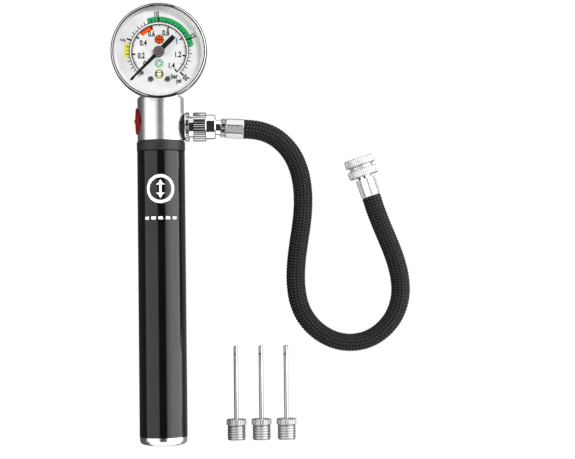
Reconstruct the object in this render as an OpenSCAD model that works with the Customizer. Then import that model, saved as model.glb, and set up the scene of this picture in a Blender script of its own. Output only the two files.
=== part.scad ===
// Hand pump for sports balls, lying on its back: +Z out of the dial, +Y along the barrel towards
// the gauge, the hose leaving towards +X. The origin is the centre of the gauge's flat back.

/* [Barrel] */
// Height of the barrel's axis above the surface it lies on
axis_h = 11.6; // [11.6:0.1:12.4]
// Radius of the sliding handle tube
handle_r = 11.45; // [11.3:0.05:11.6]
// Wall of the handle tube
handle_wall = 1.45; // [1.2:0.05:1.45]
// Length of the handle tube
handle_len = 136.3; // [120:0.1:150]
// Length of the end cap that shows
cap_len = 4; // [3:0.1:6]
// Radius of the fixed collar
collar_r = 11.6; // [11.5:0.1:11.6]
// Length of the fixed collar
collar_len = 4.6; // [4:0.1:6]
// Outer radius of the air cylinder
cylinder_r = 9.5; // [9:0.1:9.5]
// Wall of the air cylinder
cylinder_wall = 1; // [0.8:0.1:1.2]
// Length of the air cylinder
cylinder_len = 131; // [110:0.1:131]
// Radius of the piston rod
rod_r = 3; // [2.5:0.1:3.5]

/* [Head] */
// Radius of the head block
head_r = 11.15; // [11:0.05:11.3]
// Length of the head block
head_len = 21.8; // [21:0.1:22]
// Distance from the gauge's centre to the head's upper face
head_gap = 20; // [19.5:0.1:20.5]
// Distance of the hose port from the head's lower face
port_up = 7.1; // [6.8:0.1:7.4]
// Distance of the bleed button from the head's lower face
bleed_up = 10; // [9:0.1:10.4]

/* [Gauge] */
// Radius of the gauge's case
case_r = 18.6; // [18:0.1:18.6]
// Height of the case's front flange above the surface
flange_z = 23.7; // [23.7:0.1:25]
// Outer radius of the bezel
bezel_r = 22.8; // [22.5:0.1:24]
// Height of the bezel's front above the surface
bezel_top = 29; // [29:0.1:31]
// Turn of the pointer over the full scale
dial_sweep = 270; // [180:5:270]
// Direction of the scale's zero, counted from +X
dial_zero = 225; // [200:5:230]

/* [Hose and fittings] */
// Radius of the hose
hose_r = 4.6; // [4:0.1:4.65]
// Radius of the knurled hose nut
nut_r = 7.1; // [6.5:0.1:7.5]
// Flutes round the hose nut
nut_flutes = 36; // [24:2:48]
// Radius of the needle chuck
chuck_r = 7.3; // [6.5:0.1:7.3]
// Flutes round the needle chuck
chuck_flutes = 44; // [30:2:60]

/* [Needles] */
// Radius of a needle's tube
needle_r = 1.05; // [0.8:0.05:1.2]
// Whole length of a needle
needle_len = 45.4; // [38:0.1:50]
// Radius over a needle's thread
thread_r = 4.4; // [4:0.1:4.4]
// Distance between neighbouring needles
needle_pitch = 12.1; // [11:0.1:12.1]
// Distance of the first needle from the barrel's axis
needle_first_x = 34.9; // [30:0.1:36]

/* [Hidden] */
$fn = 72;

// Gaps: eps is a cutter's overshoot, run is the radial clearance of parts that slide or turn,
// and gap keeps the faces of separate bodies apart.
eps = 0.5;
run = 0.05;
gap = 0.1;

// Share of a knurled drum's rim that is land between its grooves
land = 0.56;

// Barrel stations along Y
head_top = -head_gap;
head_low = head_top - head_len;
collar_low = head_low - collar_len;
handle_top = collar_low - gap;
handle_low = handle_top - handle_len;
cap_low = handle_low - cap_len;
cylinder_low = head_low - cylinder_len;
cylinder_bore = cylinder_r - cylinder_wall;
handle_bore = handle_r - handle_wall;

// Head block: the spigot enters the cylinder and holds the outlet valve
spigot_len = 6;
seat_len = 2.5;
seat_r = 6;
chamber_len = 5;
chamber_r = 4.3;
channel_r = 3.2;
channel_len = 13;
head_round = 1.4;
head_chamfer = 0.4;
port_y = head_low + port_up;
bleed_y = head_low + bleed_up;
seat_y = head_low - spigot_len;

// Gauge stem, in the head's upper face and the case's wall
stem_r = 4.86;
stem_len = 7.6;

// Bleed valve, along -X, as distances from the barrel's axis
button_r = 6.5;
button_face = 11.9;
button_back = 9.3;
button_flutes = 32;
pocket_floor = 8;
spring_floor = 6.4;
spring_pocket_r = 4.2;
guide_r = 2.4;
pin_r = 1.15;
pin_tip = 12.7;

// Outlet valve
valve_r = 3.9;
valve_thick = 1;
valve_rest = 0.05;

// Piston
piston_len = 7.8;
piston_r = cylinder_bore - 0.1;
piston_top = seat_y - 0.8;
gland_len = 6;

// Hose fittings along +X from the barrel's axis
gasket_out = 11.7;
gasket_r = 6.3;
port_thread_r = 4;
port_depth = 5.2;
ring_out = 13.8;
ring_flutes = 40;
neck_r = 5;
nut_in = 15.6;
nut_out = 21.9;
nut_shoulder = 26.4;
nut_floor = 21.8;
nut_hole_r = 3.95;
nut_shoulder_r = 5.95;
adapter_r = 4.6;
adapter_end = 19.5;
washer_end = 20.3;
stem_seat = 20.6;
stem_lean = 3.5;
stem_neck_r = 3.5;
stem_ring_in = 28.8;
stem_ring_out = 31.2;
stem_ring_r = 4.5;
ferrule_r = 5;
ferrule_end = 40;
barb_r = 2;
air_r = 1.4;

// Hose route, centre line from the near ferrule to the far one
hose_from = [stem_seat + (ferrule_end - stem_seat) * cos(stem_lean),
    port_y - (ferrule_end - stem_seat) * sin(stem_lean), axis_h];
HOSE = [hose_from, [47.4, -36.7, 10.8], [54, -39.1, 9.6], [59.4, -43.2, 7.9], [63.6, -48.5, 6.2],
    [66.5, -55.1, 5.1], [68, -62, 4.7], [68.5, -69.2, 4.6], [68.2, -76.3, 4.6],
    [67.3, -83.6, 4.6], [66.1, -90.9, 4.6], [65.1, -98, 4.6], [64.5, -105, 4.6],
    [64.6, -112.1, 4.6], [65.7, -119.2, 4.6], [68.3, -125.8, 4.6], [72.7, -131.6, 4.6],
    [78.4, -136, 4.6], [84.9, -138.7, 4.6], [91.9, -139.4, 4.6], [98.9, -138, 4.6],
    [105.2, -134.5, 4.6], [110.3, -129.3, 4.6], [113.7, -123, 4.6], [115.3, -116, 4.6],
    [115.1, -108.9, 4.8], [113.7, -102, 5.1], [111.5, -95.2, 5.6], [108.8, -88.5, 6.2],
    [106.1, -82, 6.8], [103.6, -75.4, 7.2], [101.5, -68.8, 7.4]];
hose_sides = 12;
chuck_turn = 18;

// Needle chuck along its own axis, from the hose's end
far_ferrule_len = 9.2;
far_ferrule_r = 4.8;
chuck_in = 10.4;
chuck_band = 3.8;
chuck_groove = 1.7;
chuck_groove_r = 5.7;
chuck_len = 2 * chuck_band + chuck_groove;
chuck_neck_r = 3.2;
chuck_flange_r = 3.8;
chuck_inside_r = 3.9;
socket_r = 4.45;
socket_len = 4.7;
seal_len = 1.2;

// Needles
needle_low = cap_low + 1.1;
needle_head_r = 4.8;
needle_head_len = 2.9;
needle_thread_len = 7.2;
needle_root = 4;
needle_shank_r = 0.75;
needle_hole_back = 4.2;
needle_hole_r = 0.45;
thread_pitch = 1.2;

// Gauge, heights above the surface
case_wall = 1.2;
case_back = 1.5;
dial_z = flange_z + 1.3;
dial_thick = 0.5;
dial_top = dial_z + dial_thick;
dial_r = 21;
bezel_wall = 0.8;
lens_thick = 1;
lens_z = bezel_top - 1.8;
lens_r = bezel_r - bezel_wall - 0.05;
lip_r = 21.4;
dial_screw_x = 4;
dial_screw_y = -13.1;
pointer_z = dial_top + 0.5;
pointer_thick = 0.4;
pointer_tip = 18.7;
pointer_tail = 10.1;
hub_r = 2.66;
shaft_r = 0.6;

// Gauge movement: pinion at the centre, sector gear on a pivot towards +X
gear_module = 0.35;
pinion_teeth = 10;
sector_teeth = 54;
pinion_pitch_r = gear_module * pinion_teeth / 2;
sector_pitch_r = gear_module * sector_teeth / 2;
pivot_x = pinion_pitch_r + sector_pitch_r;
tooth_add = 0.28;
tooth_ded = 0.45;
tooth_pitch_a = 360 / sector_teeth;
sector_swing = dial_sweep * pinion_teeth / sector_teeth;
tail_len = 3.6;
back_plate_z = 14.9;
plate_thick = 0.8;
sector_z = 17.2;
sector_thick = 1;
front_plate_z = 20;
link_z = 16;
arbor_r = 0.8;
bourdon_r = 14;
bourdon_half = 0.8;
bourdon_h = 5;
bourdon_z = axis_h - bourdon_h / 2;
bourdon_start = 20;
bourdon_sweep = 230;
socket_half = 5.5;
socket_top = back_plate_z;
post_r = 1.5;

// ---------- helpers ----------

// Solid turned about +Z from a half outline of [radius, height] points
module turned(outline) {
    rotate_extrude() polygon(outline);
}

// Plain ring about +Z
module ring(outer, inner, height) {
    difference() {
        cylinder(r = outer, h = height);
        translate([0, 0, -eps]) cylinder(r = inner, h = height + 2 * eps);
    }
}

// O-ring about +Z, centred on its own plane
module o_ring(centre_r, wire_r) {
    rotate_extrude() translate([centre_r, 0]) circle(r = wire_r, $fn = 24);
}

// Drum with straight V grooves between flat lands, and bevelled rims
function fluted(r, depth, count) = [for (i = [0 : count - 1], k = [-land / 2, land / 2, 0.5])
    let (a = 360 * (i + k) / count, at = k < 0.5 ? r : r - depth) [at * cos(a), at * sin(a)]];

module knurled(r, height, count, depth = 0.15, bevel = 0.4) {
    intersection() {
        linear_extrude(height) polygon(fluted(r, depth, count));
        bevelled(r, height, bevel, bevel);
    }
}

// Drum a little wider than r, whose rims are bevelled back inside r
module bevelled(r, height, low, high) {
    over = 0.2;
    turned([[0, 0], [r - low, 0], [r + over, low + over], [r + over, height - high - over],
        [r - high, height], [0, height]]);
}

// Crimped ferrule with eight flats, turned about its axis, and bevelled ends
module crimped(r, height, turn, bevel = 0.7) {
    intersection() {
        rotate(turn) cylinder(r = r, h = height, $fn = 8);
        bevelled(r, height, bevel, bevel / 2);
    }
}

// Compression spring from round wire; the end turns lie inside the given height
module coil_spring(mean_r, wire_r, height, turns, steps = 10, sides = 6) {
    count = turns * steps;
    rise = (height - 2 * wire_r) / count;
    function at(i) = let (a = 360 * i / steps)
        [for (k = [0 : sides - 1]) let (b = 360 * k / sides)
            [(mean_r + wire_r * cos(b)) * cos(a), (mean_r + wire_r * cos(b)) * sin(a),
                wire_r + i * rise + wire_r * sin(b)]];
    polyhedron([for (i = [0 : count]) each at(i)], tube_faces(count + 1, sides), convexity = 6);
}

// Faces of a closed tube made from rings of points
function tube_faces(rings, sides) = concat(
    [[for (k = [0 : sides - 1]) k]],
    [for (i = [0 : rings - 2], k = [0 : sides - 1]) each
        let (a = i * sides + k, b = i * sides + (k + 1) % sides)
            [[a, a + sides, b + sides], [a, b + sides, b]]],
    [[for (k = [sides - 1 : -1 : 0]) (rings - 1) * sides + k]]);

// Places local +Z along the barrel, along the port, along the stem that leans in it, along the
// bleed valve, along the chuck
module on_barrel(y) { translate([0, y, axis_h]) rotate([-90, 0, 0]) children(); }
module on_port(x) { translate([x, port_y, axis_h]) rotate([0, 90, 0]) children(); }
module on_stem(x) {
    translate([stem_seat, port_y, axis_h]) rotate([0, 0, -stem_lean]) rotate([0, 90, 0])
        translate([0, 0, x - stem_seat]) children();
}
module on_bleed(x) { translate([-x, bleed_y, axis_h]) rotate([0, -90, 0]) children(); }
module on_chuck(along) {
    translate(HOSE[len(HOSE) - 1]) rotate([0, 0, chuck_turn]) rotate([-90, 0, 0])
        translate([0, 0, along]) children();
}

// ---------- head ----------

module head_block() {
    top = head_len;
    color("gainsboro") difference() {
        on_barrel(head_low) union() {
            turned([[0, 0], [head_r - head_chamfer, 0], [head_r, head_chamfer],
                [head_r, top - head_round],
                for (a = [15 : 15 : 75])
                    [head_r - head_round * (1 - cos(a)), top - head_round * (1 - sin(a))],
                [head_r - head_round, top], [0, top]]);
            translate([0, 0, -spigot_len]) cylinder(r = cylinder_bore, h = spigot_len + eps);
        }
        on_barrel(seat_y - eps) cylinder(r = seat_r, h = seat_len + eps);
        on_barrel(seat_y + seat_len - eps) cylinder(r = chamber_r, h = chamber_len + eps);
        on_barrel(seat_y + seat_len) cylinder(r = channel_r, h = spigot_len + channel_len);
        on_barrel(head_top - stem_len) cylinder(r = stem_r, h = stem_len + eps);
        on_port(0) cylinder(r = air_r, h = head_r);
        on_port(port_depth) cylinder(r = port_thread_r, h = head_r);
        on_port(head_r - 2.6) cylinder(r = gasket_r, h = head_r);
        on_bleed(0) cylinder(r = guide_r, h = head_r);
        on_bleed(spring_floor) cylinder(r = spring_pocket_r, h = head_r);
        on_bleed(pocket_floor) cylinder(r = button_r + 2 * run, h = head_r);
    }
}

module collar() {
    bevel = 0.3;
    color("black") on_barrel(collar_low) difference() {
        turned([[0, 0], [collar_r - bevel, 0], [collar_r, bevel],
            [collar_r, collar_len - bevel], [collar_r - bevel, collar_len], [0, collar_len]]);
        translate([0, 0, -eps]) cylinder(r = cylinder_r, h = collar_len + 2 * eps);
    }
}

// Brass seat screwed into the spigot, with the air hole that the disc closes
module valve_seat() {
    color("goldenrod") on_barrel(seat_y) ring(seat_r, air_r, seat_len);
}

module valve_disc() {
    color("dimgray") on_barrel(seat_y + seat_len + valve_rest)
        turned([[0, 0], [valve_r, 0], [valve_r, valve_thick], [1.2, valve_thick],
            [1.2, valve_thick + 0.6], [0, valve_thick + 0.6]]);
}

module valve_spring() {
    base = seat_y + seat_len + valve_rest + valve_thick;
    color("silver") on_barrel(base + run)
        coil_spring(3.55, 0.25, chamber_len - valve_rest - valve_thick - 2 * run, 4);
}

// ---------- air cylinder and handle ----------

module inner_cylinder() {
    color("lightgray") on_barrel(cylinder_low) ring(cylinder_r, cylinder_bore, cylinder_len);
}

// Rod guide screwed into the cylinder's open end; two small holes let air in
module cylinder_gland() {
    flange = 2;
    color("dimgray") on_barrel(cylinder_low - flange) difference() {
        union() {
            cylinder(r = cylinder_r, h = flange);
            cylinder(r = cylinder_bore, h = flange + gland_len);
        }
        translate([0, 0, -eps]) cylinder(r = rod_r + run, h = flange + gland_len + 2 * eps);
        for (side = [-1, 1]) translate([side * 5.8, 0, -eps])
            cylinder(r = 1, h = flange + gland_len + 2 * eps);
    }
}

module gland_bumper() {
    color("black") on_barrel(cylinder_low + gland_len) ring(4.6, rod_r + run, 2);
}

// Sliding handle, with a relief inside its mouth for the bush
module handle_tube() {
    color("black") on_barrel(handle_low) difference() {
        turned([[0, 0], [handle_r, 0], [handle_r, handle_len - 0.3],
            [handle_r - 0.3, handle_len], [0, handle_len]]);
        translate([0, 0, -eps]) cylinder(r = handle_bore, h = handle_len + 2 * eps);
    }
}

module handle_bush() {
    length = 12;
    color("whitesmoke") on_barrel(handle_top - length) ring(handle_bore, cylinder_r + run, length);
}

module end_cap() {
    band = 1.9;
    plug_len = 5;
    groove_r = handle_bore - 0.9;
    color("gainsboro") on_barrel(cap_low) difference() {
        turned([[0, 0], [8.6, 0], [9.9, 0.35], [10.8, 0.95], [11.3, cap_len - band],
            [11.3, cap_len - 0.25], [11.05, cap_len], [handle_bore, cap_len],
            [handle_bore, cap_len + 1.4], [groove_r, cap_len + 1.4],
            [groove_r, cap_len + 3.2], [handle_bore, cap_len + 3.2],
            [handle_bore, cap_len + plug_len], [0, cap_len + plug_len]]);
        translate([0, 0, 1.8]) cylinder(r = rod_r, h = cap_len + plug_len);
    }
}

module cap_seal() {
    wire = 0.45;
    color("black") on_barrel(handle_low + 2.3) o_ring(handle_bore - wire, wire);
}

module piston_rod() {
    low = cap_low + 1.8;
    color("silver") on_barrel(low) difference() {
        cylinder(r = rod_r, h = piston_top - piston_len + 3 - low);
        translate([0, 0, piston_top - piston_len + 3 - low - 6]) cylinder(r = 1.25, h = 7);
    }
}

module piston() {
    groove_r = piston_r - 1.4;
    color("whitesmoke") on_barrel(piston_top - piston_len) difference() {
        turned([[0, 0], [piston_r - 0.4, 0], [piston_r, 0.4], [piston_r, 3.1],
            [groove_r, 3.1], [groove_r, 4.9], [piston_r, 4.9], [piston_r, piston_len - 0.4],
            [piston_r - 0.4, piston_len], [0, piston_len]]);
        translate([0, 0, -eps]) cylinder(r = rod_r, h = 3 + eps);
        cylinder(r = 1.25, h = piston_len);
        translate([0, 0, piston_len - 2]) cylinder(r = 2.6, h = 2 + eps);
    }
}

module piston_seal() {
    wire = 0.7;
    color("black") on_barrel(piston_top - piston_len + 4)
        o_ring(cylinder_bore - run - wire, wire);
}

module piston_screw() {
    color("silver") on_barrel(piston_top - piston_len - 2.4) union() {
        cylinder(r = 1.25, h = piston_len + 0.6);
        translate([0, 0, piston_len + 0.4]) difference() {
            cylinder(r = 2.4, h = 1.6);
            translate([-3, -0.35, 1]) cube([6, 0.7, 1]);
        }
    }
}

// ---------- bleed valve ----------

module bleed_button() {
    body = button_face - button_back;
    color("firebrick") on_bleed(button_back) difference() {
        union() {
            knurled(button_r, body, button_flutes, 0.2, 0.5);
            turned([[0, body - 0.3], [button_r - 0.5, body - 0.3], [button_r - 0.5, body],
                [3, body + 0.25], [0, body + 0.35]]);
        }
        translate([0, 0, -eps]) cylinder(r = pin_r, h = body + 2);
        translate([0, 0, -eps]) ring(spring_pocket_r, 2.7, 1 + eps);
    }
}

module bleed_pin() {
    head = 2;
    inner = 3.4;
    color("goldenrod") on_bleed(inner) union() {
        cylinder(r = pin_r, h = pin_tip - inner - 0.4);
        turned([[0, pin_tip - inner - 0.5], [pin_r, pin_tip - inner - 0.5],
            [pin_r * 0.6, pin_tip - inner], [0, pin_tip - inner]]);
        translate([0, 0, -head]) cylinder(r = 1.9, h = 1);
        translate([0, 0, -1.5]) cylinder(r = pin_r, h = 2);
    }
}

module bleed_guide() {
    color("goldenrod") on_bleed(channel_r + 0.6)
        ring(guide_r, pin_r + run, spring_floor + 1 - channel_r - 0.6);
}

module bleed_seal() {
    color("black") on_bleed(channel_r - 0.8) ring(1.9, pin_r, 1.35);
}

module bleed_spring() {
    color("silver") on_bleed(spring_floor + run)
        coil_spring(3.4, 0.25, button_back + 1 - spring_floor - 2 * run, 4);
}

// ---------- hose fittings ----------

module port_gasket() {
    low = head_r - 2.6;
    color("black") on_port(low) ring(gasket_r, port_thread_r, gasket_out - low);
}

module port_adapter() {
    color("gainsboro") difference() {
        union() {
            on_port(port_depth) cylinder(r = port_thread_r, h = gasket_out - port_depth);
            on_port(gasket_out) knurled(nut_r, ring_out - gasket_out, ring_flutes);
            on_port(ring_out) cylinder(r = neck_r, h = nut_in - gap - ring_out);
            on_port(ring_out) cylinder(r = adapter_r, h = adapter_end - ring_out);
        }
        on_port(port_depth - eps) cylinder(r = air_r, h = adapter_end);
    }
}

module hose_nut() {
    color("gainsboro") difference() {
        union() {
            on_port(nut_in) knurled(nut_r, nut_out - nut_in, nut_flutes);
            on_port(nut_out) turned([[0, -eps], [nut_shoulder_r, -eps],
                [nut_shoulder_r, nut_shoulder - nut_out - 0.5],
                [nut_shoulder_r - 0.5, nut_shoulder - nut_out], [0, nut_shoulder - nut_out]]);
        }
        on_port(nut_in - eps) cylinder(r = adapter_r + run, h = nut_floor - nut_in + eps);
        on_port(nut_in) cylinder(r = nut_hole_r, h = nut_shoulder);
    }
}

module nut_washer() {
    color("black") on_port(adapter_end) ring(adapter_r - 0.4, air_r, washer_end - adapter_end);
}

// The hose's weight makes the stem lean a little in its nut
module hose_stem() {
    color("gainsboro") difference() {
        union() {
            on_stem(stem_seat) cylinder(r = adapter_r - 2 * run, h = 0.8);
            on_stem(stem_seat) cylinder(r = stem_neck_r, h = stem_ring_in - stem_seat);
            on_stem(stem_ring_in) knurled(stem_ring_r, stem_ring_out - stem_ring_in, 28, 0.15, 0.3);
            on_stem(stem_ring_out) cylinder(r = barb_r, h = ferrule_end - stem_ring_out);
        }
        on_stem(stem_seat - eps) cylinder(r = air_r, h = ferrule_end);
    }
}

module ferrule_near() {
    color("gainsboro") on_stem(stem_ring_out) difference() {
        crimped(ferrule_r, ferrule_end - stem_ring_out, 32);
        translate([0, 0, -eps]) cylinder(r = barb_r, h = ferrule_end);
    }
}

// The hose is swept along its route, square to it at every point
function unit(v) = v / norm(v);
function heading(i) = let (last = len(HOSE) - 1)
    i == 0 ? [cos(stem_lean), -sin(stem_lean), 0]
    : i == last ? [-sin(chuck_turn), cos(chuck_turn), 0]
    : unit(HOSE[i + 1] - HOSE[i - 1]);
function hose_ring(i) = let (t = heading(i), side = unit(cross([0, 0, 1], t)), up = cross(t, side))
    [for (k = [0 : hose_sides - 1]) let (a = 360 * (k + 0.5) / hose_sides)
        HOSE[i] + hose_r * (cos(a) * side + sin(a) * up)];

module hose() {
    color("black") polyhedron([for (i = [0 : len(HOSE) - 1]) each hose_ring(i)],
        tube_faces(len(HOSE), hose_sides), convexity = 6);
}

module ferrule_far() {
    color("gainsboro") on_chuck(0) difference() {
        crimped(far_ferrule_r, far_ferrule_len, 4);
        translate([0, 0, -eps]) cylinder(r = barb_r, h = far_ferrule_len + 2 * eps);
    }
}

// Tail in the ferrule, neck that the chuck turns on, and the flange that keeps the chuck on
module chuck_stem() {
    flange_at = chuck_in + chuck_len - socket_len - seal_len - 1;
    color("gainsboro") on_chuck(0) difference() {
        union() {
            cylinder(r = barb_r, h = far_ferrule_len);
            translate([0, 0, far_ferrule_len]) cylinder(r = chuck_neck_r, h = flange_at - far_ferrule_len);
            translate([0, 0, flange_at]) cylinder(r = chuck_flange_r, h = 1 - gap);
        }
        translate([0, 0, -eps]) cylinder(r = air_r, h = 20);
    }
}

module chuck_body() {
    floor_at = chuck_len - socket_len - seal_len - 1 - gap;
    color("gainsboro") on_chuck(chuck_in) difference() {
        union() {
            knurled(chuck_r, chuck_band, chuck_flutes);
            cylinder(r = chuck_groove_r, h = chuck_len - 1);
            translate([0, 0, chuck_band + chuck_groove])
                knurled(chuck_r, chuck_band, chuck_flutes);
        }
        translate([0, 0, -eps]) cylinder(r = chuck_neck_r + run, h = chuck_len);
        translate([0, 0, floor_at]) cylinder(r = chuck_inside_r, h = chuck_len);
        translate([0, 0, chuck_len - socket_len]) cylinder(r = socket_r, h = chuck_len);
    }
}

module chuck_seal() {
    color("black") on_chuck(chuck_in + chuck_len - socket_len - seal_len)
        ring(chuck_inside_r, air_r, seal_len);
}

// ---------- gauge ----------

module gauge_case() {
    edge = 1;
    color("dimgray") difference() {
        turned([[0, 0], [case_r - edge, 0], [case_r - 0.3, 0.3], [case_r, edge],
            [case_r, flange_z], [lens_r, flange_z], [lens_r, dial_z],
            [case_r - case_wall, dial_z], [case_r - case_wall, case_back], [0, case_back]]);
        on_barrel(head_top) cylinder(r = stem_r, h = 8);
    }
}

// Bezel with a rolled outer edge and a lip over the lens
module gauge_bezel() {
    roll = 1.1;
    base = flange_z - gap;
    color("gainsboro") turned([[lens_r + run, base], [bezel_r - 0.3, base], [bezel_r, base + 0.3],
        [bezel_r, bezel_top - roll],
        for (a = [15 : 15 : 90])
            [bezel_r - roll * (1 - cos(a)), bezel_top - roll * (1 - sin(a))],
        [lip_r + 0.3, bezel_top], [lip_r, bezel_top - 0.3], [lip_r, lens_z + lens_thick],
        [lens_r + run, lens_z + lens_thick]]);
}

// White ring between dial and lens, sloping in towards the dial
module lens_ring() {
    color("white") turned([[dial_r - 0.8, dial_top], [lens_r, dial_top], [lens_r, lens_z],
        [lip_r, lens_z]]);
}

module gauge_lens() {
    color("lightcyan") translate([0, 0, lens_z]) cylinder(r = lens_r, h = lens_thick);
}

module dial_plate() {
    color("white") difference() {
        translate([0, 0, dial_z]) cylinder(r = dial_r, h = dial_thick);
        translate([0, 0, dial_z - eps]) cylinder(r = 1.6, h = dial_thick + 2 * eps);
        for (side = [-1, 1]) translate([side * dial_screw_x, dial_screw_y, dial_z - eps])
            cylinder(r = 0.85, h = dial_thick + 2 * eps);
        stop_at() translate([0, 0, dial_z - eps]) cylinder(r = 0.5, h = dial_thick + 2 * eps);
    }
}

module dial_screws() {
    color("dimgray") for (side = [-1, 1]) translate([side * dial_screw_x, dial_screw_y, 0])
        difference() {
            union() {
                translate([0, 0, dial_top - 3]) cylinder(r = 0.8, h = 3);
                translate([0, 0, dial_top])
                    turned([[0, 0], [1.35, 0], [1.35, 0.35], [1, 0.7], [0, 0.7]]);
            }
            rotate(side * 25) translate([-2, -0.15, dial_top + 0.4]) cube([4, 0.3, 1]);
        }
}

// The pointer leans on this pin at zero
module stop_at() { rotate(dial_zero + 6.6) translate([13, 0, 0]) children(); }

module stop_pin() {
    color("dimgray") stop_at() {
        translate([0, 0, dial_z]) cylinder(r = 0.5, h = dial_thick);
        translate([0, 0, dial_top]) cylinder(r = 0.85, h = 1.2);
    }
}

module pointer() {
    root_half = 0.93;
    tip_half = 0.35;
    tail_half = 1.12;
    color("black") rotate(dial_zero) translate([0, 0, pointer_z]) difference() {
        linear_extrude(pointer_thick) union() {
            polygon([[0, -root_half], [pointer_tip, -tip_half], [pointer_tip, tip_half],
                [0, root_half]]);
            translate([-pointer_tail, -tail_half]) square([pointer_tail, 2 * tail_half]);
            circle(r = hub_r);
        }
        translate([0, 0, -eps]) cylinder(r = shaft_r, h = 2);
    }
}

module pointer_hub() {
    low = pointer_z + pointer_thick;
    color("rosybrown") translate([0, 0, low]) difference() {
        turned([[0, 0], [hub_r - 0.1, 0], [hub_r - 0.1, 0.2], [hub_r - 0.4, 0.45], [0, 0.45]]);
        translate([0, 0, -eps]) cylinder(r = shaft_r, h = 2);
    }
}

// One straight-sided gear tooth that points along +X from a wheel's centre
module tooth(pitch_r, height) {
    half = gear_module * 0.62;
    tip = gear_module * 0.3;
    linear_extrude(height) polygon([[pitch_r - tooth_ded - 0.3, -half * 1.3],
        [pitch_r - tooth_ded, -half * 1.2], [pitch_r + tooth_add, -tip],
        [pitch_r + tooth_add, tip], [pitch_r - tooth_ded, half * 1.2],
        [pitch_r - tooth_ded - 0.3, half * 1.3]]);
}

module pinion_shaft() {
    low = back_plate_z + 0.1;
    color("goldenrod") union() {
        translate([0, 0, low]) cylinder(r = shaft_r, h = pointer_z + 0.95 - low);
        translate([0, 0, sector_z - 0.3]) {
            cylinder(r = pinion_pitch_r - tooth_ded, h = sector_thick + 0.6);
            for (i = [0 : pinion_teeth - 1]) rotate(360 * i / pinion_teeth)
                tooth(pinion_pitch_r, sector_thick + 0.6);
        }
    }
}

// At rest the gap between two teeth faces the pinion; the toothed arc runs on towards +Y
module sector_gear() {
    first = -1;
    last = 8;
    arc_from = 180 + 1.2 * tooth_pitch_a;
    arc_to = 180 - (last + 1.1) * tooth_pitch_a;
    rim_r = sector_pitch_r - tooth_ded;
    rim = 1.6;
    middle = 180 - sector_swing / 2;
    color("goldenrod") translate([pivot_x, 0, 0]) {
        translate([0, 0, back_plate_z + 0.1]) cylinder(r = arbor_r, h = front_plate_z - back_plate_z
            + plate_thick - 0.2);
        translate([0, 0, sector_z]) {
            cylinder(r = 1.7, h = sector_thick);
            rotate(arc_to) rotate_extrude(angle = arc_from - arc_to)
                translate([rim_r - rim, 0]) square([rim, sector_thick]);
            for (i = [first : last]) rotate(180 - (i + 0.5) * tooth_pitch_a)
                tooth(sector_pitch_r, sector_thick);
            for (a = [arc_to + 4, middle, arc_from - 4]) rotate(a) translate([0, -0.6, 0])
                cube([rim_r - rim / 2, 1.2, sector_thick]);
            rotate(middle + 180) translate([0, -0.8, 0]) cube([tail_len, 1.6, sector_thick]);
            rotate(middle + 180) translate([tail_len, 0, 0]) cylinder(r = 0.8, h = sector_thick);
        }
    }
}

// Drop link between the sector's tail and the bourdon tube's tip
module gauge_link() {
    tail_at = [pivot_x + tail_len * cos(sector_swing / 2), -tail_len * sin(sector_swing / 2)];
    reach = 6;
    color("goldenrod") translate([tail_at[0], tail_at[1], link_z]) rotate(100) union() {
        cylinder(r = 0.8, h = 0.7);
        translate([0, -0.5, 0]) cube([reach, 1, 0.7]);
        translate([reach, 0, 0]) cylinder(r = 0.8, h = 0.7);
    }
}

// Flat spiral about the pinion shaft
module hairspring() {
    turns = 4;
    inner = 0.9;
    outer = 3.4;
    strip = 0.12;
    steps = 24 * turns;
    function spiral(i, extra) = let (a = 360 * turns * i / steps,
        r = inner + (outer - inner) * i / steps + extra) [r * cos(a), r * sin(a)];
    color("goldenrod") translate([0, 0, sector_z + sector_thick + 0.8]) linear_extrude(0.5)
        polygon([for (i = [0 : steps]) spiral(i, 0), for (i = [steps : -1 : 0]) spiral(i, strip)]);
}

module plate_holes() {
    translate([0, 0, -eps]) cylinder(r = shaft_r + run, h = 2);
    translate([pivot_x, 0, -eps]) cylinder(r = arbor_r + run, h = 2);
}

function post_places() = [[-5, 4], [-5, -4], [-dial_screw_x, dial_screw_y], [dial_screw_x, dial_screw_y]];

module movement_plate() {
    difference() {
        linear_extrude(plate_thick) polygon([[-6, -15], [6, -15], [6.4, -6], [12.6, -2.6],
            [12.6, 2.6], [4, 5.6], [-6.6, 5.6], [-6.6, -6]]);
        plate_holes();
        for (p = post_places()) translate([p[0], p[1], -eps]) cylinder(r = post_r, h = 2);
    }
}

module back_plate() { color("khaki") translate([0, 0, back_plate_z]) movement_plate(); }
module front_plate() { color("khaki") translate([0, 0, front_plate_z]) movement_plate(); }

// Two short pillars, and two posts that carry the dial
module movement_posts() {
    color("khaki") {
        for (i = [0, 1]) translate([post_places()[i][0], post_places()[i][1], back_plate_z])
            cylinder(r = post_r, h = front_plate_z + plate_thick - back_plate_z);
        for (i = [2, 3]) translate([post_places()[i][0], post_places()[i][1], back_plate_z])
            difference() {
                cylinder(r = post_r, h = dial_z - back_plate_z);
                translate([0, 0, dial_z - back_plate_z - 2.5]) cylinder(r = 0.8, h = 3);
            }
    }
}

module bourdon_arc() {
    rotate(bourdon_start) rotate_extrude(angle = bourdon_sweep)
        translate([bourdon_r - bourdon_half, bourdon_z]) square([2 * bourdon_half, bourdon_h]);
}

module bourdon_tube() { color("darkgoldenrod") bourdon_arc(); }

// Stem in the head, and the block inside the case that holds the tube and the movement
module gauge_socket() {
    color("goldenrod") difference() {
        union() {
            on_barrel(head_top - stem_len) cylinder(r = stem_r, h = stem_len + 5);
            translate([-socket_half, -16, socket_top - 8.2]) cube([2 * socket_half, 6.4, 8.2]);
        }
        on_barrel(head_top - stem_len - eps) cylinder(r = air_r, h = stem_len + 7);
        bourdon_arc();
    }
}

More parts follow.
